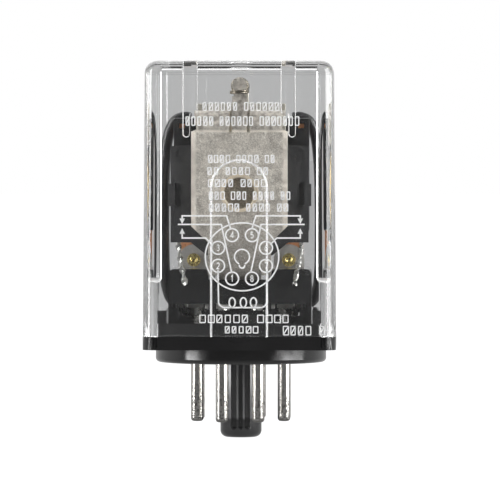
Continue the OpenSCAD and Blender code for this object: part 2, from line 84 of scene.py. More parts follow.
def arc(cx, cy, r, start, stop, steps):
    """Points of an arc in a plane, from one angle to another in degrees."""
    angles = [math.radians(start + (stop - start) * i / steps) for i in range(steps + 1)]
    return [(cx + r * math.cos(a), cy + r * math.sin(a)) for a in angles]


def round_square(half, r, z, steps=8):
    """A ring with round corners at height z."""
    c = half - r
    ring = []
    for start, (sx, sy) in zip((0, 90, 180, 270), ((1, 1), (-1, 1), (-1, -1), (1, -1))):
        ring += [Vector((x, y, z)) for x, y in arc(sx * c, sy * c, r, start, start + 90, steps)]
    return ring


def loft(bm, rings, closed=False):
    """Skins a row of rings. closed joins the last ring to the first; otherwise both ends are filled."""
    rows = [[bm.verts.new(p) for p in ring] for ring in rings]
    n = len(rings[0])
    for a, b in zip(rows, rows[1:] + rows[:1] if closed else rows[1:]):
        for k in range(n):
            bm.faces.new((a[k], a[(k + 1) % n], b[(k + 1) % n], b[k]))
    if not closed:
        bm.faces.new(rows[0][::-1])
        bm.faces.new(rows[-1])
    return bm


def lathe(bm, profile, steps=64):
    """Turns a profile of (radius, height) points round the Z axis. Its two ends lie on the axis."""
    turns = [2 * math.pi * k / steps for k in range(steps)]
    rows = [[bm.verts.new((r * math.cos(t), r * math.sin(t), z)) for t in turns] for r, z in profile[1:-1]]
    for a, b in zip(rows, rows[1:]):
        for k in range(steps):
            bm.faces.new((a[k], a[(k + 1) % steps], b[(k + 1) % steps], b[k]))
    for (_, z), row, turn in ((profile[0], rows[0], -1), (profile[-1], rows[-1], 1)):
        tip = bm.verts.new((0, 0, z))
        for k in range(steps):
            pair = (row[k], row[(k + 1) % steps])
            bm.faces.new((tip, *pair[::turn]))
    return bm


def smooth_line(points, steps):
    """A Catmull-Rom line through points."""
    p = [Vector(q) for q in points]
    line = []
    for i in range(len(p) - 1):
        a, b, c, d = p[max(i - 1, 0)], p[i], p[i + 1], p[min(i + 2, len(p) - 1)]
        for k in range(steps):
            t = k / steps
            line.append(0.5 * (2 * b + (c - a) * t + (2 * a - 5 * b + 4 * c - d) * t * t
                               + (3 * b - a - 3 * c + d) * t ** 3))
    return line + [p[-1]]


def frames(line):
    """For each point of a line, its tangent and two normals, carried along without twist."""
    out = []
    side = None
    for i, point in enumerate(line):
        t = (line[min(i + 1, len(line) - 1)] - line[max(i - 1, 0)]).normalized()
        if side is None:
            side = t.orthogonal()
        side = (side - side.dot(t) * t).normalized()
        out.append((point, t, side, t.cross(side)))
    return out


def sweep(bm, line, radius, sides):
    """A round bar along a line; radius is a number or a function of the share of the line passed."""
    turns = [2 * math.pi * k / sides for k in range(sides)]
    last = len(line) - 1
    rings = []
    for i, (point, _, u, v) in enumerate(frames(line)):
        r = radius(i / last) if callable(radius) else radius
        rings.append([point + r * (math.cos(t) * u + math.sin(t) * v) for t in turns])
    return loft(bm, rings)


def flip_x(points, side):
    """A route described for the left half, put on the given side."""
    return [(-side * x, y, z) for x, y, z in points]


def make(name, bm, material, body=BODY, stands_for=(), angle=35):
    """Turns a bmesh in millimetres into a piece that rides on a body."""
    bmesh.ops.recalc_face_normals(bm, faces=bm.faces)
    bmesh.ops.scale(bm, vec=(MM, MM, MM), verts=bm.verts)
    mesh = bpy.data.meshes.new(name)
    bm.to_mesh(mesh)
    bm.free()
    obj = bpy.data.objects.new(name, mesh)
    bpy.context.scene.collection.objects.link(obj)
    soften(obj, angle)
    mesh.materials.append(material)
    if body:
        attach(obj, body)
    if stands_for:
        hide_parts(*stands_for)
    return obj


def soften(obj, angle):
    """Smooth faces, with sharp edges where they meet at more than the angle."""
    obj.data.shade_smooth()
    obj.data.set_sharp_from_angle(angle=math.radians(angle))


def apply_modifiers(obj):
    """Puts the result of an object's modifiers into its mesh."""
    graph = bpy.context.evaluated_depsgraph_get()
    mesh = bpy.data.meshes.new_from_object(obj.evaluated_get(graph))
    obj.modifiers.clear()
    obj.data = mesh


def carve(obj, cutter_bm, operation):
    """Joins a bmesh in millimetres to an object, or cuts it away. Faces keep their material numbers."""
    bmesh.ops.recalc_face_normals(cutter_bm, faces=cutter_bm.faces)
    bmesh.ops.scale(cutter_bm, vec=(MM, MM, MM), verts=cutter_bm.verts)
    mesh = bpy.data.meshes.new("cutter")
    cutter_bm.to_mesh(mesh)
    cutter_bm.free()
    for material in obj.data.materials:
        mesh.materials.append(material)
    cutter = bpy.data.objects.new("cutter", mesh)
    bpy.context.scene.collection.objects.link(cutter)
    cut = obj.modifiers.new("carve", "BOOLEAN")
    cut.operation = operation
    cut.solver = "EXACT"
    cut.material_mode = "INDEX"
    cut.object = cutter
    apply_modifiers(obj)
    bpy.data.objects.remove(cutter)


def frost(bm, chosen):
    """Gives the faces that chosen picks the second material of their piece."""
    for face in bm.faces:
        if chosen(face):
            face.material_index = 1
    return bm


# ---------------------------------------------------------------- materials


def is_output(value):
    return hasattr(value, "is_linked")


class Graph:
    """A shader node tree and short ways to add to it. Values are numbers, colours or outputs of nodes."""

    def __init__(self, tree, coordinates):
        self.tree = tree
        self.place = self.node("ShaderNodeTexCoord").outputs[coordinates]

    def node(self, kind, **inputs):
        made = self.tree.nodes.new(kind)
        for key, value in inputs.items():
            made.inputs[key.replace("_", " ")].default_value = value
        return made

    def link(self, a, b):
        self.tree.links.new(a, b)

    def feed(self, socket, value):
        """Joins an output to a socket, or sets the socket."""
        if is_output(value):
            self.link(value, socket)
        else:
            socket.default_value = value

    def axis(self, name):
        """The coordinate along X, Y or Z."""
        split = self.node("ShaderNodeSeparateXYZ")
        self.link(self.place, split.inputs["Vector"])
        return split.outputs[name]

    def maths(self, how, *values):
        made = self.node("ShaderNodeMath")
        made.operation = how
        for socket, value in zip(made.inputs, values):
            self.feed(socket, value)
        return made.outputs["Value"]

    def between(self, value, start, end, low=0.0, high=1.0):
        """Low where the value is at start and high where it is at end."""
        made = self.node("ShaderNodeMapRange", From_Min=start, From_Max=end)
        self.link(value, made.inputs["Value"])
        self.feed(made.inputs["To Min"], low)
        self.feed(made.inputs["To Max"], high)
        return made.outputs["Result"]

    def mixed(self, share, a, b, how="MIX"):
        """Colour a where share is 0 and colour b, or a blended with b, where it is 1."""
        made = self.node("ShaderNodeMix")
        made.data_type = "RGBA"
        made.blend_type = how
        self.feed(made.inputs["Factor"], share)
        for key, colour in (("A", a), ("B", b)):
            self.feed(made.inputs[key], colour if is_output(colour) else (*colour, 1))
        return made.outputs["Result"]

    def ramp(self, value, stops):
        """A colour ramp of (position, colour) stops. A number stands for a grey."""
        made = self.node("ShaderNodeValToRGB")
        points = made.color_ramp.elements
        while len(points) < len(stops):
            points.new(0.5)
        for point, (position, colour) in zip(points, stops):
            point.position = position
            point.color = (*colour, 1) if hasattr(colour, "__len__") else (colour, colour, colour, 1)
        self.link(value, made.inputs["Fac"])
        return made.outputs["Color"]

    def straight_way(self, path):
        """1 for a ray that has only passed through things since the camera, and 0 for any other."""
        return self.maths("COMPARE", path.outputs["Ray Depth"], path.outputs["Transmission Depth"], 0.5)


class Paint(Graph):
    """A material being built on a Principled shader."""

    def __init__(self, name):
        self.material = bpy.data.materials.new(name)
        self.material.use_nodes = True
        super().__init__(self.material.node_tree, "Object")
        self.shader = self.tree.nodes["Principled BSDF"]

    def set(self, **values):
        """Sets the shader's inputs."""
        for key, value in values.items():
            self.shader.inputs[key.replace("_", " ")].default_value = value

    def use(self, **sockets):
        """Joins outputs to the shader's inputs."""
        for key, socket in sockets.items():
            self.link(socket, self.shader.inputs[key.replace("_", " ")])

    def along_z(self, low, high):
        """0 at height low and 1 at height high, in millimetres."""
        return self.between(self.axis("Z"), low * MM, high * MM)

    def stretched(self, scale):
        """Object coordinates scaled along each axis."""
        mapping = self.node("ShaderNodeMapping", Scale=scale)
        self.link(self.place, mapping.inputs["Vector"])
        return mapping.outputs["Vector"]

    def noise(self, size_mm, detail=3.0, stretch=None):
        """Noise whose grains are about size_mm wide."""
        made = self.node("ShaderNodeTexNoise", Scale=1 / (size_mm * MM), Detail=detail)
        self.link(self.stretched(stretch) if stretch else self.place, made.inputs["Vector"])
        return made.outputs["Fac"]

    def bump(self, value, depth_mm, below=None):
        """Bumps of about depth_mm from a value; below is the normal they sit on."""
        made = self.node("ShaderNodeBump", Strength=1.0, Distance=depth_mm * MM)
        self.link(value, made.inputs["Height"])
        if below:
            self.link(below, made.inputs["Normal"])
        return made.outputs["Normal"]


def shade(colour, factor):
    return tuple(min(1.0, c * factor) for c in colour)


def moulded(name, colour, rough, grain_mm=0.25, grain_depth=0.004, gloss=0.0, painted_sheen=None):
    """Moulded plastic: faint flow marks, fine grain and small changes of gloss. The last argument is the
    paler colour of painted reflection streaks down the post, between the seat and its plain tip."""
    seat = -0.2
    tip = -10.2
    p = Paint(name)
    p.set(IOR=1.55, Coat_Weight=gloss, Coat_Roughness=0.06)
    flow = p.noise(9.0, 2.0, (1, 1, 0.35))
    tone = p.ramp(flow, [(0.3, shade(colour, 0.75)), (0.7, shade(colour, 1.35))])
    if painted_sheen:
        # Painted reflection: pale streaks down the post's grooved part stand for the light it mirrors.
        sheen_streaks = p.noise(1.1, 3.0, (1, 1, 0.08))
        sheen_streaks = p.ramp(sheen_streaks, [(0.35, shade(painted_sheen, 0.7)), (0.65, shade(painted_sheen, 1.3))])
        tone = p.mixed(p.along_z(seat, seat - 0.4), tone, sheen_streaks)
        # The plain tip below goes dark again, without the painted reflection.
        tone = p.mixed(p.along_z(tip, tip - 0.6), tone, shade(painted_sheen, 0.15))
    p.use(
        Base_Color=tone,
        Roughness=p.ramp(p.noise(2.5), [(0.3, rough - 0.05), (0.75, rough + 0.07)]),
        Normal=p.bump(p.noise(grain_mm), grain_depth, p.bump(p.noise(5.0), 0.01)),
    )
    return p.material


def yoke_edges(p, tone, colour):
    """Painted highlights on the rounded edges down both sides of the yoke's plate and along its bend, and
    painted shade, mottled, on the top above it.
    """
    aside = p.maths("ABSOLUTE", p.axis("X"))
    # Painted highlight: paler strips down both side edges of the plate.
    edge_highlight = p.between(aside, (YOKE_HI.x - 1.1) * MM, (YOKE_HI.x - 0.7) * MM)
    tone = p.mixed(edge_highlight, tone, shade(colour, 1.22))
    # Painted highlight: a pale line where the plate starts to bend back.
    tone = p.mixed(p.along_z(BEND_Z - 0.25, BEND_Z - 0.1), tone, shade(colour, 1.25))
    # Painted shade: the bend above the line is darker, with a mottle.
    shaded_mottle = p.ramp(p.noise(0.7, 4.0), [(0.35, shade(colour, 0.45)), (0.65, shade(colour, 0.85))])
    return p.mixed(p.along_z(BEND_Z + 0.1, BEND_Z + 0.4), tone, shaded_mottle)


def beyond_radius(p, centre, inner, outer):
    """0 within the inner radius of a line along Y through the centre, and 1 beyond the outer one."""
    flat = p.node("ShaderNodeVectorMath")
    flat.operation = "MULTIPLY_ADD"
    p.link(p.place, flat.inputs[0])
    flat.inputs[1].default_value = (1, 0, 1)
    flat.inputs[2].default_value = (-centre.x * MM, 0, -centre.z * MM)
    radius = p.node("ShaderNodeVectorMath")
    radius.operation = "LENGTH"
    p.link(flat.outputs["Vector"], radius.inputs[0])
    return p.between(radius.outputs["Value"], inner * MM, outer * MM)


def plated(name, colour, rough, speckle=0.25, grain_mm=0.28, grain_depth=0.01, stain=0.2, yoke=False,
           riveted=None):
    """Plated or bare metal: speckled grain, slow stains and a fine rough surface. The yoke has painted
    highlights on its edges and bend, and painted shade over the bend's top and towards its lower end. Riveted
    is the middle of a riveted end, which has a raised ring with a painted highlight."""
    p = Paint(name)
    p.set(Metallic=1.0)
    grain = p.noise(grain_mm, 4.0)
    tone = p.ramp(grain, [
        (0.3, shade(colour, 1 - speckle)),
        (0.55, colour),
        (0.75, shade(colour, 1 + speckle)),
    ])
    stains_and_shade = p.ramp(p.noise(4.0, 3.0), [(0.3, 1 - stain), (0.65, 1.0)])
    if yoke:
        # Painted shade: the yoke darkens towards its lower end.
        stains_and_shade = p.mixed(p.along_z(30, 17), stains_and_shade, (0.5, 0.5, 0.5))
    tone = p.mixed(1.0, tone, stains_and_shade, "MULTIPLY")
    surface = p.bump(grain, grain_depth)
    if yoke:
        tone = yoke_edges(p, tone, colour)
    if riveted:
        # Painted highlight: a pale ring where the riveted end's raised rim catches light; the bump gives its
        # shape.
        ring = beyond_radius(p, riveted, 2.7, 3.0)
        tone = p.mixed(ring, tone, shade(colour, 2.0))
        surface = p.bump(ring, 0.12, surface)
    p.use(
        Base_Color=tone,
        Roughness=p.ramp(p.noise(1.2), [(0.3, rough - 0.07), (0.7, rough + 0.1)]),
        Normal=surface,
    )
    return p.material


def tinned(name, colour, rough):
    """Bright plated pins, dipped in solder: mottled towards the tip, with a dark tip."""
    p = Paint(name)
    p.set(Metallic=1.0)
    mottle = p.noise(0.35, 4.0)
    dull = p.ramp(mottle, [
        (0.38, shade(colour, 0.28)),
        (0.5, shade(colour, 0.85)),
        (0.66, shade(colour, 1.12)),
    ])
    tone = p.mixed(p.along_z(-2.0, -7.5), colour, dull)
    tone = p.mixed(p.along_z(PIN_TIP + 0.9, PIN_TIP + 0.2), tone, shade(colour, 0.3))
    p.use(
        Base_Color=tone,
        Roughness=p.ramp(p.noise(0.8), [(0.3, rough - 0.03), (0.7, rough + 0.1)]),
        Normal=p.bump(mottle, 0.02, p.bump(p.noise(2.2, 2.0, (1, 1, 0.25)), 0.05)),
    )
    return p.material


def drawn(name, colour, rough, along=(1, 1, 0.06), line_mm=0.12):
    """Metal with fine draw lines along one axis."""
    p = Paint(name)
    p.set(Metallic=1.0)
    lines = p.noise(line_mm, 2.0, along)
    p.use(
        Base_Color=p.ramp(p.noise(1.6, 3.0, along), [(0.3, shade(colour, 0.8)), (0.7, shade(colour, 1.12))]),
        Roughness=p.ramp(lines, [(0.3, rough - 0.06), (0.7, rough + 0.1)]),
        Normal=p.bump(lines, 0.004),
    )
    return p.material


def clear_plastic(name, tint, rough, haze):
    """Clear moulded plastic that lets lamps reach what is inside it. Haze is the share that scatters."""
    p = Paint(name)
    p.set(Base_Color=(*tint, 1), Transmission_Weight=1.0, IOR=1.56, Roughness=rough)
    p.use(Normal=p.bump(p.noise(14.0, 1.0), 0.006))

    def layered(share, a, b):
        mix = p.node("ShaderNodeMixShader")
        p.feed(mix.inputs["Fac"], share)
        p.link(a, mix.inputs[1])
        p.link(b, mix.inputs[2])
        return mix.outputs["Shader"]

    white = (0.95, 0.95, 0.95, 1)
    front = p.node("ShaderNodeBsdfDiffuse", Color=white).outputs["BSDF"]
    back = p.node("ShaderNodeBsdfTranslucent", Color=white).outputs["BSDF"]
    surface = layered(haze, p.shader.outputs["BSDF"], layered(0.5, front, back))
    clear = p.node("ShaderNodeBsdfTransparent", Color=(0.93, 0.93, 0.93, 1)).outputs["BSDF"]
    surface = layered(p.node("ShaderNodeLightPath").outputs["Is Shadow Ray"], surface, clear)
    p.link(surface, p.tree.nodes["Material Output"].inputs["Surface"])
    return p.material


def printed(name):
    """White printing ink, a little uneven."""
    p = Paint(name)
    p.set(IOR=1.4)
    p.use(
        Base_Color=p.ramp(p.noise(0.5), [(0.3, 0.82), (0.7, 0.95)]),
        Roughness=p.ramp(p.noise(0.8), [(0.3, 0.4), (0.7, 0.6)]),
    )
    return p.material


def wound(name, colour, pitch_mm):
    """Turns of fine wire side by side along Y."""
    p = Paint(name)
    p.set(Metallic=0.75)
    wave = p.node("ShaderNodeTexWave", Scale=1 / (pitch_mm * MM) / 20, Distortion=0.6, Detail=1.0)
    wave.bands_direction = "Y"
    p.link(p.place, wave.inputs["Vector"])
    p.use(
        Base_Color=p.ramp(wave.outputs["Fac"], [(0.2, shade(colour, 0.45)), (0.7, shade(colour, 1.25))]),
        Roughness=p.ramp(p.noise(1.0), [(0.3, 0.25), (0.7, 0.42)]),
        Normal=p.bump(wave.outputs["Fac"], 0.06),
    )
    return p.material


def taped(name, colour):
    """Amber film with soft creases over the turns below."""
    p = Paint(name)
    p.set(IOR=1.6, Coat_Weight=0.5, Coat_Roughness=0.1)
    crease = p.noise(1.4, 2.0, (0.4, 2.2, 0.4))
    p.use(
        Base_Color=p.ramp(p.noise(2.5), [(0.3, shade(colour, 0.7)), (0.7, shade(colour, 1.15))]),
        Roughness=p.ramp(crease, [(0.3, 0.18), (0.7, 0.34)]),
        Normal=p.bump(crease, 0.05),
    )
    return p.material


# The post's paler streaked colour is painted reflection.
base_black = moulded("base_black", (0.008, 0.008, 0.0083), 0.1, grain_mm=0.6, grain_depth=0.001, gloss=0.9,
                     painted_sheen=(0.15, 0.15, 0.155))
block_black = moulded("block_black", (0.004, 0.004, 0.0042), 0.22, gloss=0.7)
bobbin_black = moulded("bobbin_black", (0.02, 0.02, 0.0205), 0.33)
carrier_black = moulded("carrier_black", (0.004, 0.004, 0.0045), 0.33)
lead_black = moulded("lead_black", (0.004, 0.004, 0.0045), 0.34, grain_mm=0.4, grain_depth=0.006)
yoke_nickel = plated("yoke_nickel", (0.78, 0.73, 0.655), 0.46, speckle=0.42, grain_mm=0.19, stain=0.08,
                     yoke=True)
armature_nickel = plated("armature_nickel", (0.58, 0.56, 0.5), 0.42, speckle=0.2)
core_iron = plated("core_iron", (0.43, 0.38, 0.3), 0.42, speckle=0.35, stain=0.4, riveted=middle("core"))
terminal_nickel = plated("terminal_nickel", (0.55, 0.54, 0.52), 0.42, speckle=0.12, grain_mm=0.15,
                         grain_depth=0.004)
screw_zinc = plated("screw_zinc", (0.72, 0.73, 0.74), 0.28, speckle=0.1, grain_mm=0.2, grain_depth=0.003)
solder_tin = plated("solder_tin", (0.62, 0.62, 0.59), 0.26, speckle=0.15, grain_mm=0.3, grain_depth=0.02)
contact_silver = plated("contact_silver", (0.85, 0.84, 0.8), 0.3, speckle=0.15, grain_mm=0.2,
                        grain_depth=0.004)
pin_nickel = tinned("pin_nickel", (0.86, 0.84, 0.8), 0.12)
spring_steel = drawn("spring_steel", (0.3, 0.27, 0.22), 0.22, along=(1, 0.2, 1))
copper_sheet = drawn("copper_sheet", (0.8, 0.4, 0.22), 0.32)
brass_bright = drawn("brass_bright", (0.8, 0.68, 0.31), 0.26, along=(1, 1, 1), line_mm=0.3)
winding_enamel = wound("winding_enamel", (0.5, 0.2, 0.08), 0.18)
coil_film = taped("coil_film", (0.62, 0.45, 0.16))
cover_clear = clear_plastic("cover_clear", (0.975, 0.978, 0.98), 0.0, haze=0.004)
cover_edge = clear_plastic("cover_edge", (0.98, 0.98, 0.98), 0.25, haze=0.32)
print_white = printed("print_white")

# ---------------------------------------------------------------- studio


def camera():
    """The photograph's view: from the front, a long way off, a little to the right and a little above."""
    distance = 900
    pixels_per_metre = 5467
    picture = 500
    cam = bpy.data.cameras.new("camera")
    cam.sensor_width = 36
    cam.lens = pixels_per_metre * distance * MM * cam.sensor_width / picture
    cam.clip_start = 0.05
    cam.clip_end = 20
    obj = bpy.data.objects.new("camera", cam)
    obj.location = Vector((20, COVER_LO.y - distance, 38)) * MM
    aim = Vector((1.68, 0, 20.8)) * MM
    obj.rotation_euler = (aim - obj.location).to_track_quat("-Z", "Y").to_euler()
    bpy.context.scene.collection.objects.link(obj)
    bpy.context.scene.camera = obj


def softbox(name, azimuth, elevation, size, power):
    """A rectangular lamp that faces the relay. Azimuth 0 is the camera's side and 90 the right."""
    distance = 0.9
    aim = Vector((0, 0, 21 * MM))
    lamp = bpy.data.lights.new(name, "AREA")
    lamp.shape = "RECTANGLE"
    lamp.size, lamp.size_y = size
    lamp.energy = power
    obj = bpy.data.objects.new(name, lamp)
    a, e = math.radians(azimuth), math.radians(elevation)
    way = Vector((math.sin(a) * math.cos(e), -math.cos(a) * math.cos(e), math.sin(e)))
    obj.location = aim + way * distance
    obj.rotation_euler = way.to_track_quat("Z", "Y").to_euler()
    bpy.context.scene.collection.objects.link(obj)


def surroundings():
    """A white studio that is dark in front, where the room is. Seen through the cover it is greyer ahead than
    at the sides."""
    world = bpy.data.worlds.new("studio")
    bpy.context.scene.world = world
    world.use_nodes = True
    g = Graph(world.node_tree, "Generated")
    path = g.node("ShaderNodeLightPath")
    depth = g.axis("Y")
    aside = g.maths("ABSOLUTE", g.axis("X"))
    mirrored = g.ramp(g.between(depth, -1, 1), [(0, 0.03), (0.2, 0.06), (0.45, 0.5), (0.7, 0.7), (1, 0.8)])
    open_side = g.ramp(aside, [(0, 0.54), (0.3, 0.57), (0.6, 1.1), (1, 1.3)])
    room_side = g.ramp(aside, [(0, 0.08), (0.4, 0.15), (0.7, 1.0), (1, 1.3)])
    clear_way = g.maths("MAXIMUM", g.between(depth, -0.3, 0.1), g.straight_way(path))
    refracted = g.mixed(clear_way, room_side, open_side)
    seen = g.mixed(path.outputs["Is Transmission Ray"], mirrored, refracted)
    seen = g.mixed(path.outputs["Is Camera Ray"], seen, (1, 1, 1))
    g.link(seen, g.tree.nodes["Background"].inputs["Color"])


def floor():
    """A pale sheet just under the post, as bright to the camera as the backdrop. To other rays it is grey
    behind the relay and dark in front of it, with a bright patch on either side that the disc mirrors."""
    half = 6000
    below_post = 0.02
    patch_glow = 7.0
    bm = bmesh.new()
    bmesh.ops.create_grid(bm, x_segments=1, y_segments=1, size=half)
    bmesh.ops.translate(bm, vec=(0, 0, POST_TIP - below_post), verts=bm.verts)
    p = Paint("floor_white")
    p.set(Roughness=0.9, Specular_IOR_Level=0.0, Emission_Color=(1, 1, 1, 1))
    path = p.node("ShaderNodeLightPath")
    x, y = p.axis("X"), p.axis("Y")
    aside = p.maths("ABSOLUTE", x)
    # On the left the patch ends 80 mm further forward.
    reach = p.maths("ADD", y, p.between(x, -0.01, 0.01, 0.08, 0))
    glow = p.maths("MULTIPLY", p.between(aside, 0.14, 0.2), p.between(aside, 0.3, 0.36, patch_glow, 0))
    glow = p.maths("MULTIPLY", glow, p.between(reach, 0, 0.02, 1, 0))
    glow = p.maths("MULTIPLY", glow, p.between(y, -0.2, -0.14))
    mirrored = p.maths("MAXIMUM", glow, p.between(y, -0.1, 0, 0.03, 0.3))
    refracted = p.between(y, -0.1, 0, 0.08, 0.42)
    refracted = p.maths("MAXIMUM", refracted, p.between(p.straight_way(path), 0, 1, 0, 0.42))
    seen = p.between(path.outputs["Is Transmission Ray"], 0, 1, mirrored, refracted)
    p.use(
        Base_Color=p.ramp(p.noise(40.0), [(0.3, 0.09), (0.7, 0.1)]),
        Emission_Strength=p.between(path.outputs["Is Camera Ray"], 0, 1, seen, 1.0),
    )
    make("floor", bm, p.material, body=None)


camera()
surroundings()
floor()
softbox("left_softbox", azimuth=-68, elevation=12, size=(0.3, 0.9), power=9)
softbox("right_softbox", azimuth=66, elevation=12, size=(0.6, 0.9), power=14)
softbox("top_softbox", azimuth=200, elevation=50, size=(1.2, 1.0), power=3)
bpy.context.scene.view_settings.view_transform = "Standard"
for limit, bounces in (("max", 40), ("transmission", 40), ("glossy", 40), ("transparent_max", 24)):
    setattr(bpy.context.scene.cycles, f"{limit}_bounces", bounces)

# ---------------------------------------------------------------- cover

FOOT = COVER_HI.x
DECK = COVER_LO.z
ROOF = COVER_HI.z
WALL = 1.7
ROOF_T = 1.7
EDGE_R = 2.4
DRAFT = 0.33
INSIDE = FOOT - WALL


def cover_half(z):
    """Half the cover's width at height z: it narrows a little towards the roof."""
    return FOOT - DRAFT * (z - DECK) / (ROOF - EDGE_R - DECK)


def cover_outer():
    corner = 2.6
    chamfer = 0.15
    rings = [
        round_square(cover_half(DECK) - chamfer, corner - chamfer, DECK),
        round_square(cover_half(DECK), corner, DECK + chamfer),
    ]
    top = cover_half(ROOF - EDGE_R)
    for inset, z in arc(0, ROOF - EDGE_R, EDGE_R, 0, 90, 10):
        off = EDGE_R - inset
        rings.append(round_square(top - off, corner - off, z))
    return rings


def cover_inner():
    roof_z = ROOF - ROOF_T
    corner = 1.4
    fillet = 0.5
    rings = [round_square(INSIDE, corner, DECK)]
    for inset, z in arc(0, roof_z - fillet, fillet, 0, 90, 4):
        off = fillet - inset
        rings.append(round_square(INSIDE - off, corner - off, z))
    return rings


def corner_post(bm, sx, sy):
    """A post inside a corner, with rounded edges and a round foot."""
    width = 1.8
    into_wall = 0.3
    foot = 15.1
    edge_r = 0.45
    bulge = 0.15
    middle_xy = INSIDE + into_wall - (width + into_wall) / 2
    foot_rings = arc(0, foot + width / 2, width / 2, -84, 0, 8)
    rings = []
    for inset, z in foot_rings + [(width / 2, ROOF - ROOF_T + 0.4)]:
        half = inset + bulge
        ring = round_square(half, min(edge_r, half * 0.6), z, 6)
        rings.append([Vector((sx * middle_xy, sy * middle_xy, 0)) + p for p in ring])
    return frost(loft(bm, rings), lambda face: face.calc_center_median().z < foot + width / 2)


def fin(bm, side):
    """A thin hanging leg beside the yoke, wider near the roof, with a frosted chamfer round its free edge."""
    top = ROOF - ROOF_T + 0.4
    tip_z = 42.4
    narrow_z = 45.8
    wide_z = 46.6
    fillet = 0.4
    back = -12.3
    chamfer = 0.25
    rings = []
    for inset, y in ((0, -INSIDE - 0.3), (0.05, back - chamfer), (0.18, back)):
        outer, inner, wide = 10.4 - inset, 9.0 + inset, 7.6 + inset
        outline = [(outer, top), (outer, tip_z)]
        outline += arc(9.7, tip_z, (outer - inner) / 2, 0, -180, 10)[1:]
        outline += arc(inner - fillet, narrow_z, fillet, 0, 90, 4)
        outline += arc(wide + fillet, wide_z, fillet, -90, -180, 4)
        outline += [(wide, top)]
        rings.append([Vector((side * u, y, v)) for u, v in outline])

    def on_chamfer(face):
        return len(face.verts) == 4 and face.calc_center_median().y > back - 0.3

    return frost(loft(bm, rings), on_chamfer)


def arch_panel(bm):
    """The arched panel sunk into the inside of the front wall, with sloping frosted sides."""
    half = 5.35
    top = 37.8
    depth = 0.4
    slope = 0.44
    overcut = 0.03
    below = DECK - 2
    rings = []
    for inset, y in ((slope, -INSIDE - depth), (0, -INSIDE + overcut)):
        r = half - inset
        outline = [(r, below)] + arc(0, top - half, r, 0, 180, 32) + [(-r, below)]
        rings.append([Vector((u, y, v)) for u, v in outline])
    return frost(loft(bm, rings), lambda face: len(face.verts) == 4)


def gate_mark(bm):
    """The shallow round mark in the roof where the plastic came in, with a frosted rounded side."""
    r = 2.15
    side_r = 0.25
    z = ROOF - 0.2
    above = ROOF + 1
    profile = [(0, z - side_r), (r - side_r, z - side_r)] + arc(r, z, side_r, -90, 0, 4)
    profile += [(r + side_r, above), (0, above)]
    return frost(lathe(bm, profile), lambda face: z - 0.24 < face.calc_center_median().z < ROOF)


def cover():
    """The cover's shell with its posts, fins, panel and gate mark, as one closed solid."""
    bm = loft(bmesh.new(), cover_outer()[::-1] + cover_inner())
    shell = make("cover_shell", bm, cover_clear, stands_for=("cover",))
    shell.data.materials.append(cover_edge)
    for sx in (-1, 1):
        for sy in (-1, 1):
            carve(shell, corner_post(bmesh.new(), sx, sy), "UNION")
        carve(shell, fin(bmesh.new(), sx), "UNION")
    carve(shell, arch_panel(bmesh.new()), "DIFFERENCE")
    carve(shell, gate_mark(bmesh.new()), "DIFFERENCE")
    soften(shell, 25)
    even = shell.modifiers.new("normals", "WEIGHTED_NORMAL")
    even.weight = 100
    even.keep_sharp = True


cover()

# ---------------------------------------------------------------- printing on the cover

LINE_W = 0.27
TEXT_W = 0.2
DIGIT_W = 0.36
DIGIT_H = 0.56
INK_UNDER = 0.004
INK_TOP = 0.03
DIAGRAM = Vector((0.57, 19.88))
PIN_SPOTS = {1: 247.5, 2: 202.5, 3: 157.5, 4: 112.5, 5: 67.5, 6: 22.5, 7: 337.5, 8: 292.5}
TEXT_ROWS = (
    # bottom, top, left, right, letters in each word
    (46.7, 48.1, -6.57, 7.34, (6, 6)),
    (43.95, 45.5, -9.68, 10.99, (5, 6, 7)),
    (37.15, 38.45, -5.58, 6.57, (4, 4, 2)),
    (34.95, 36.2, -5.67, 5.34, (2, 4, 2)),
    (32.75, 34.0, -5.58, 4.96, (4, 4)),
    (30.4, 31.75, -5.43, 9.46, (3, 3, 4, 2)),
    (28.25, 29.55, -5.43, 9.02, (5, 4, 2)),
    (7.85, 9.2, -7.15, 9.22, (6, 4)),
    (5.95, 7.1, -2.49, 3.49, (5,)),
    (5.6, 7.15, 8.14, 15.73, (4, 1)),
)


def face_point(x, z, off):
    """A point of the cover's front face, a little off its surface."""
    return Vector((x, -cover_half(z) - off, z))


def stroke(bm, points, width=LINE_W, closed=False):
    """A flat ink line along points (x, z) of the front face, with mitred corners."""
    pts = [Vector(p) for p in points]
    n = len(pts)
    sharpest = 0.35
    rings = []
    for i, p in enumerate(pts):
        before = (p - pts[i - 1]).normalized() if closed or i > 0 else None
        after = (pts[(i + 1) % n] - p).normalized() if closed or i < n - 1 else None
        way = ((before or after) + (after or before)).normalized()
        across = Vector((-way.y, way.x))
        half = width / 2 / max(sharpest, way.dot(after or before))
        a, b = p + across * half, p - across * half
        corners = ((a, INK_UNDER), (b, INK_UNDER), (b, INK_TOP), (a, INK_TOP))
        rings.append([face_point(*corner, off) for corner, off in corners])
    loft(bm, rings, closed=closed)


def patch(bm, outline):
    """A filled shape of ink."""
    loft(bm, [[face_point(x, z, off) for x, z in outline] for off in (INK_UNDER, INK_TOP)])


def oval(cx, cz, rx, rz, steps):
    turns = [2 * math.pi * k / steps for k in range(steps)]
    return [(cx + rx * math.cos(t), cz + rz * math.sin(t)) for t in turns]


def round_box(x0, z0, x1, z1, r):
    """A box with round corners on the front face."""
    corners = ((x1 - r, z1 - r, 0), (x0 + r, z1 - r, 90), (x0 + r, z0 + r, 180), (x1 - r, z0 + r, 270))
    return [point for x, z, start in corners for point in arc(x, z, r, start, start + 90, 3)]


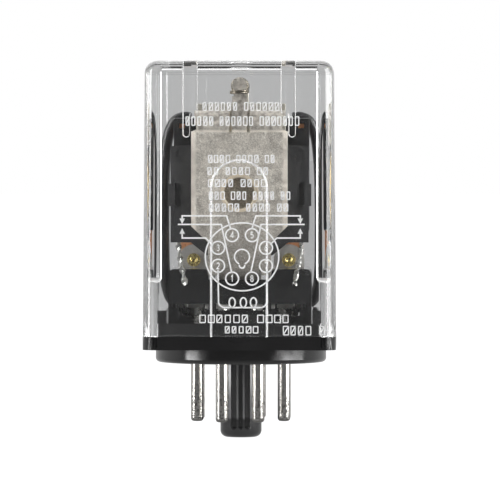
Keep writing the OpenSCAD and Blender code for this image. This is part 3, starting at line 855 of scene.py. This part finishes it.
def digit_lines(number):
    """The strokes of a digit from 1 to 8 in a box from -1 to 1."""
    loop_up = arc(0, 0.45, 0.55, -90, 270, 14)
    loop_down = arc(0, -0.4, 0.6, 90, 450, 14)
    return {
        1: [[(-0.5, 0.55), (0.1, 1), (0.1, -1)]],
        2: [arc(0, 0.4, 0.6, 160, -40, 10) + [(-0.7, -1), (0.75, -1)]],
        3: [arc(0, 0.5, 0.5, 150, -80, 10) + arc(0, -0.45, 0.55, 80, -150, 10)],
        4: [[(0.4, -1), (0.4, 1), (-0.75, -0.4), (0.8, -0.4)]],
        5: [[(0.65, 1), (-0.45, 1), (-0.55, 0.15)] + arc(0, -0.35, 0.65, 130, -150, 12)],
        6: [[(0.45, 0.95), (-0.2, 0.6), (-0.55, -0.2)] + arc(0, -0.4, 0.6, 180, 540, 14)],
        7: [[(-0.65, 1), (0.7, 1), (-0.15, -1)]],
        8: [loop_up, loop_down],
    }[number]


def coil_symbol(bm):
    """The coil's wiring, with three loops, from pin 2 to pin 7."""
    loops_z = 11.48
    line = [(-3.82, 17.4), (-3.74, 11.9)] + arc(-2.6, 11.75, 1.15, 190, 262, 6)
    for x in (-0.75, 1.3, 3.15):
        for degrees in range(-70, 271, 20):
            t = math.radians(degrees)
            drift = 0.25 * degrees / 360 - 0.55
            line.append((x + 0.62 * math.cos(t) + drift, loops_z + 0.92 * math.sin(t)))
    line += arc(3.95, 11.75, 1.15, -80, -8, 6) + [(5.15, 17.4)]
    stroke(bm, line)


def pin_diagram(bm):
    """The plug's pins as seen from below, with numbers, the key and the coil."""
    spot_r = 1.18
    stroke(bm, oval(*DIAGRAM, 6.73, 6.22, 72), closed=True)
    for number, angle in PIN_SPOTS.items():
        a = math.radians(angle)
        cx, cz = DIAGRAM.x + 4.75 * math.cos(a), DIAGRAM.y + 4.3 * math.sin(a)
        stroke(bm, oval(cx, cz, spot_r, spot_r, 32), closed=True)
        for line in digit_lines(number):
            stroke(bm, [(cx + DIGIT_W * u, cz + DIGIT_H * v) for u, v in line], 0.17)
    stroke(bm, arc(DIAGRAM.x, DIAGRAM.y, 1.37, -68, 248, 32))
    stroke(bm, arc(DIAGRAM.x, DIAGRAM.y - 1.56, 0.5, -190, 10, 14))
    coil_symbol(bm)


def contact_lines(bm):
    """The contacts' wiring on each side of the diagram."""
    centre = 0.42
    contact = 10.81
    arrow_half = 0.5
    for side in (-1, 1):
        def at(u, z):
            return (centre + side * u, z)

        stroke(bm, [at(contact, 26.6), at(contact, 27.38), at(2.67, 27.38), at(1.94, 25.0)])
        stroke(bm, [at(11.6, 25.81), at(3.65, 25.81), at(1.75, 17.0)])
        stroke(bm, [at(contact, 24.5), at(contact, 23.32), at(6.5, 23.32), at(5.3, 22.1)])
        for tip, back in ((25.9, 26.9), (25.1, 24.1)):
            patch(bm, [at(contact - arrow_half, back), at(contact + arrow_half, back), at(contact, tip)])


def text_row(bm, low, high, start, end, words):
    """A row of blank boxes, some with a slash, that stands for a line of printed words."""
    gap = 0.42
    space = 0.8
    corner = 0.08
    slashed = 0.5
    pitch = (end - start + gap) / (sum(words) + (len(words) - 1) * space)
    x = start
    for letters in words:
        for _ in range(letters):
            w = (pitch - gap) * random.uniform(0.75, 1)
            stroke(bm, round_box(x, low, x + w, high, corner), TEXT_W, closed=True)
            if random.random() < slashed:
                stroke(bm, [(x, low), (x + w, high)], TEXT_W)
            x += pitch
        x += space * pitch


def printing():
    """All the printing on the cover's front, as one piece of ink."""
    random.seed(7)
    bm = bmesh.new()
    pin_diagram(bm)
    contact_lines(bm)
    for row in TEXT_ROWS:
        text_row(bm, *row)
    make("cover_print", bm, print_white)


printing()

# ---------------------------------------------------------------- leads and spring

LIFT = DECK - 5


def lifted(points):
    """Routes are given for a deck 5 mm above the seat, as the pieces on it are."""
    return [(x, y, z + LIFT) for x, y, z in points]


FLEX_ROUTE = lifted([
    (-9.5, 8.4, 45.2), (-11.1, 8.5, 45.3), (-12.8, 8.5, 44.3), (-14, 8.5, 41), (-14.55, 8.6, 35),
    (-14.7, 8.9, 28), (-14.7, 9.7, 21), (-14.6, 10.8, 16.6), (-14.2, 12.4, 13), (-13.1, 13.3, 10.6),
    (-10.4, 13.3, 9.4), (-7, 13.2, 9.2), (-4.5, 12.6, 9.2), (-3.5, 11.2, 9.2), (-3.34, 9.45, 9.2),
])
COIL_ROUTE = lifted([
    (-7.6, -9.9, 25.4), (-10.4, -9.9, 24.2), (-11.3, -9.9, 22.4), (-11.1, -9.6, 19.8), (-10.7, -9.3, 17.4),
    (-10.2, -9.1, 15), (-10.1, -9.1, 12.5), (-10.1, -9, 10.6), (-10.2, -7, 9.2), (-10.2, -3, 8.9),
    (-10, 1, 8.8), (-9.5, 2.6, 8.8),
])


def flex_lead(name, side):
    """Black insulated lead from a moving blade, round the coil and down to its pin, thinner at its ends."""
    line = smooth_line(flip_x(FLEX_ROUTE, -side), 8)
    r = 1.05

    def thickness(share):
        steps_from_end = min(share, 1 - share) * len(line)
        return r * min(1, 0.82 + 0.12 * steps_from_end)

    lead = make(f"{name}_sleeve", sweep(bmesh.new(), line, thickness, 24), lead_black,
                body=None, stands_for=(name,))
    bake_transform(lead)


def coil_lead(name, side):
    """Two bare wires twisted together and tinned, a little beaded with solder."""
    line = smooth_line(flip_x(COIL_ROUTE, -side), 14)
    r = 0.56
    turn = 2.2
    sides = 14
    gone = 0
    rings = []
    for i, (point, _, u, v) in enumerate(frames(line)):
        gone += (point - line[max(i - 1, 0)]).length
        twist = 2 * math.pi * gone / turn
        bead = 1 + 0.12 * math.sin(gone * 3.1) + 0.06 * math.sin(gone * 7.7)
        ring = []
        for k in range(sides):
            t = 2 * math.pi * k / sides
            size = r * bead * (0.5 + 0.5 * math.cos(t - twist / 2) ** 2)
            ring.append(point + size * (math.cos(t) * u + math.sin(t) * v))
        rings.append(ring)
    make(f"{name}_twist", loft(bmesh.new(), rings), solder_tin, stands_for=(name,))


def return_spring():
    """Extension spring with a double loop round the tongue and a hook in the armature's tab."""
    wire_r = 0.17
    loop_r = 1.65
    loop_drop = 0.8
    coil_r = 1.47
    turns = 15
    steps = 24
    start, end = -10.9, 1.2
    tongue_y = YOKE_LO.y + 0.9
    axis = 51 + LIFT
    line = []
    for step in range(58):
        a = math.radians(12 * step)
        z = axis - loop_drop - 0.01 * step
        line.append(Vector((loop_r * math.sin(a), tongue_y + loop_r * math.cos(a), z)))
    for step in range(turns * steps + 1):
        a = 2 * math.pi * step / steps
        share = step / (turns * steps)
        y = start + (end - start) * share
        line.append(Vector((coil_r * math.sin(a), y, axis - coil_r * math.cos(a))))
    hook = [(1.6, -1.2), (1.9, -0.4), (2.4, 0.05), (3.3, 0.1), (4.2, 0.1), (4.6, 0.5)]
    line += [Vector((0, y, axis + z)) for y, z in hook]
    spring = make("return_spring_wire", sweep(bmesh.new(), line, wire_r, 10), spring_steel,
                  body=None, stands_for=("return_spring",), angle=60)
    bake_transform(spring)


def front_contact(name):
    """Brass rivet of a front contact strip: a dished head in front and a silver button behind."""
    lo, hi = span(name)
    x, z = (lo.x + hi.x) / 2, (lo.z + hi.z) / 2
    r = (hi.x - lo.x) / 2
    depth = hi.y - lo.y
    head = 0.55
    shank_r = 0.6
    dish = [(0, 0.3), (0.28, 0.26), (0.45, 0.1)]
    lip = arc(0.8, 0.3, 0.3, 150, 60, 5) + arc(r - 0.3, 0.35, 0.3, 60, 0, 4)
    shank = [(r, head), (shank_r, head + 0.02), (shank_r, depth - 0.8)]
    button = [(r - 0.15, depth - 0.79), (r, depth - 0.65)] + arc(r - 0.25, depth - 0.25, 0.25, 0, 90, 4)
    profile = dish + lip + shank + button + [(0, depth)]
    bm = lathe(bmesh.new(), [(radius, lo.y + d) for radius, d in profile], steps=40)
    for vert in bm.verts:
        u, v, w = vert.co
        vert.co = (x + u, w, z + v)
    make(f"{name}_rivet", bm, brass_bright, stands_for=(name,))


for name in ("no_contact_left", "no_contact_right"):
    front_contact(name)
for side_name, side in SIDES.items():
    flex_lead(f"flex_lead_{side_name}", side)
    coil_lead(f"coil_lead_{side_name}", side)
return_spring()

# ---------------------------------------------------------------- CAD pieces that stay


def keep(material, names, width, angle=30):
    """Gives CAD nodes rounded edges and a material."""
    for name in names:
        obj = nodes[name]
        weld = obj.modifiers.new("weld", "WELD")
        weld.merge_threshold = 0.002 * MM
        if width:
            bevel = obj.modifiers.new("bevel", "BEVEL")
            bevel.width = width * MM
            bevel.segments = 3
            bevel.limit_method = "ANGLE"
            bevel.angle_limit = math.radians(angle)
            bevel.harden_normals = False
        smooth = obj.modifiers.new("normals", "WEIGHTED_NORMAL")
        smooth.keep_sharp = True
        for slot in obj.material_slots:
            slot.material = material


def both(name):
    return [f"{name}_left", f"{name}_right"]


keep(base_black, ["base"], 0.18)
keep(block_black, ["terminal_block"], 0.3)
keep(bobbin_black, ["bobbin"], 0.2)
keep(carrier_black, ["blade_carrier"], 0.12)
keep(yoke_nickel, ["yoke"], 0.22)
keep(armature_nickel, ["armature"], 0.12)
keep(core_iron, ["core"], 0.12)
keep(copper_sheet, ["shading_ring"], 0.04)
keep(winding_enamel, ["coil_winding"], 0.1)
keep(coil_film, ["coil_tape"], 0.05)
keep(screw_zinc, ["yoke_screw", "armature_rivets"], 0.08)
keep(solder_tin, ["pin_joints"], 0.2)
keep(pin_nickel, [f"pin_{n}" for n in range(1, 9)], 0.03)
keep(brass_bright, ["blade_rivets", "residual_rivet"] + both("nc_contact"), 0.08)
keep(contact_silver, both("moving_contact"), 0.08)
keep(terminal_nickel, both("no_terminal") + both("nc_terminal"), 0.08)
keep(copper_sheet, both("moving_blade") + both("lead_end"), 0.05)
